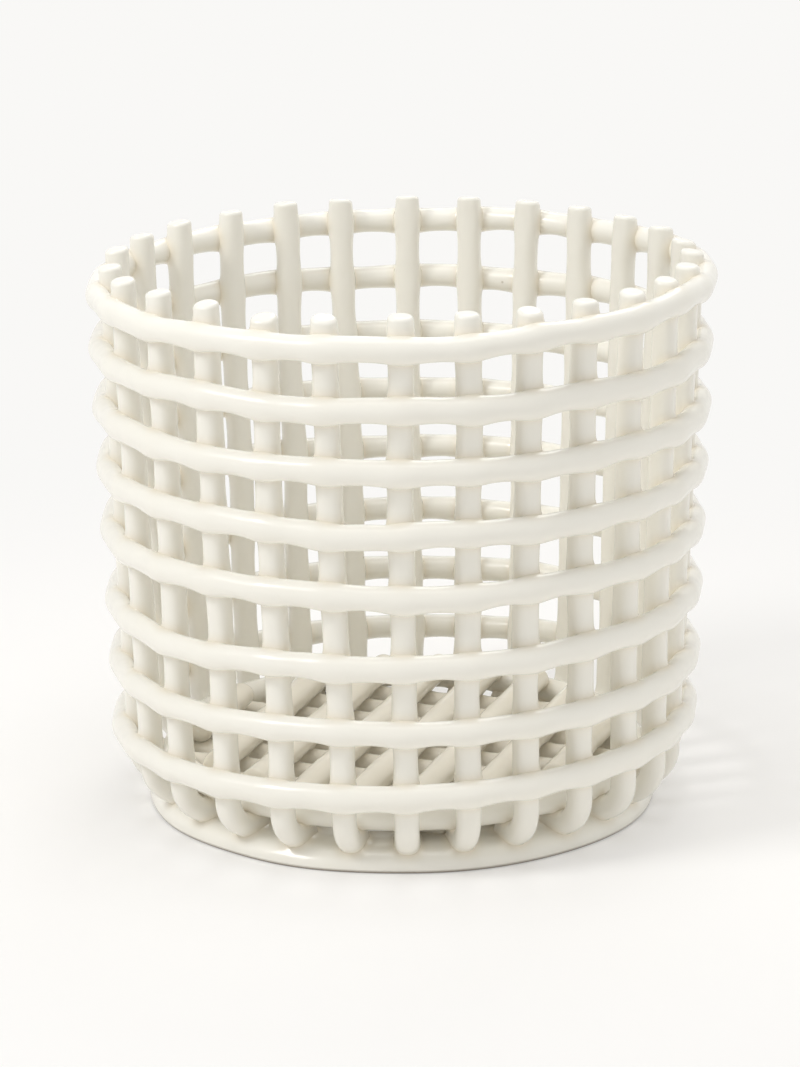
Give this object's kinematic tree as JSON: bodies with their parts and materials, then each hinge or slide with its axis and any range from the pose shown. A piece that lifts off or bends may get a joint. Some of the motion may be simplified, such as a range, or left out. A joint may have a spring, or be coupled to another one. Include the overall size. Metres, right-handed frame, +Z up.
{
  "type": "ceramic basket",
  "caption": "Round open basket of glazed clay rods: uprights ringed by hoops and hooked under a base ring into a rounded foot, with a floor of crossed rods, for fruit or bread.",
  "frame": {"origin": "on the basket's axis, on the surface that the foot ring stands on", "axes": "+Z up along the basket's axis, -Y towards the front that the picture shows, +X to its right"},
  "size_m": [0.235, 0.2349, 0.21],
  "materials": {
    "glaze": "glossy off-white glaze"
  },
  "bodies": {
    "root": {"foot_ring": "glaze", "base_ring": "glaze", "upright_01": "glaze", "upright_02": "glaze", "upright_03": "glaze", "upright_04": "glaze", "upright_05": "glaze", "upright_06": "glaze", "upright_07": "glaze", "upright_08": "glaze", "upright_09": "glaze", "upright_10": "glaze", "upright_11": "glaze", "upright_12": "glaze", "upright_13": "glaze", "upright_14": "glaze", "upright_15": "glaze", "upright_16": "glaze", "upright_17": "glaze", "upright_18": "glaze", "upright_19": "glaze", "upright_20": "glaze", "upright_21": "glaze", "upright_22": "glaze", "upright_23": "glaze", "upright_24": "glaze", "upright_25": "glaze", "upright_26": "glaze", "upright_27": "glaze", "hoop_01": "glaze", "hoop_02": "glaze", "hoop_03": "glaze", "hoop_04": "glaze", "hoop_05": "glaze", "hoop_06": "glaze", "hoop_07": "glaze", "hoop_08": "glaze", "floor_rod_lower_01": "glaze", "floor_rod_lower_02": "glaze", "floor_rod_lower_03": "glaze", "floor_rod_lower_04": "glaze", "floor_rod_lower_05": "glaze", "floor_rod_lower_06": "glaze", "floor_rod_lower_07": "glaze", "floor_rod_lower_08": "glaze", "floor_rod_lower_09": "glaze", "floor_rod_upper_01": "glaze", "floor_rod_upper_02": "glaze", "floor_rod_upper_03": "glaze", "floor_rod_upper_04": "glaze", "floor_rod_upper_05": "glaze", "floor_rod_upper_06": "glaze", "floor_rod_upper_07": "glaze", "floor_rod_upper_08": "glaze"}
  },
  "joints": []
}
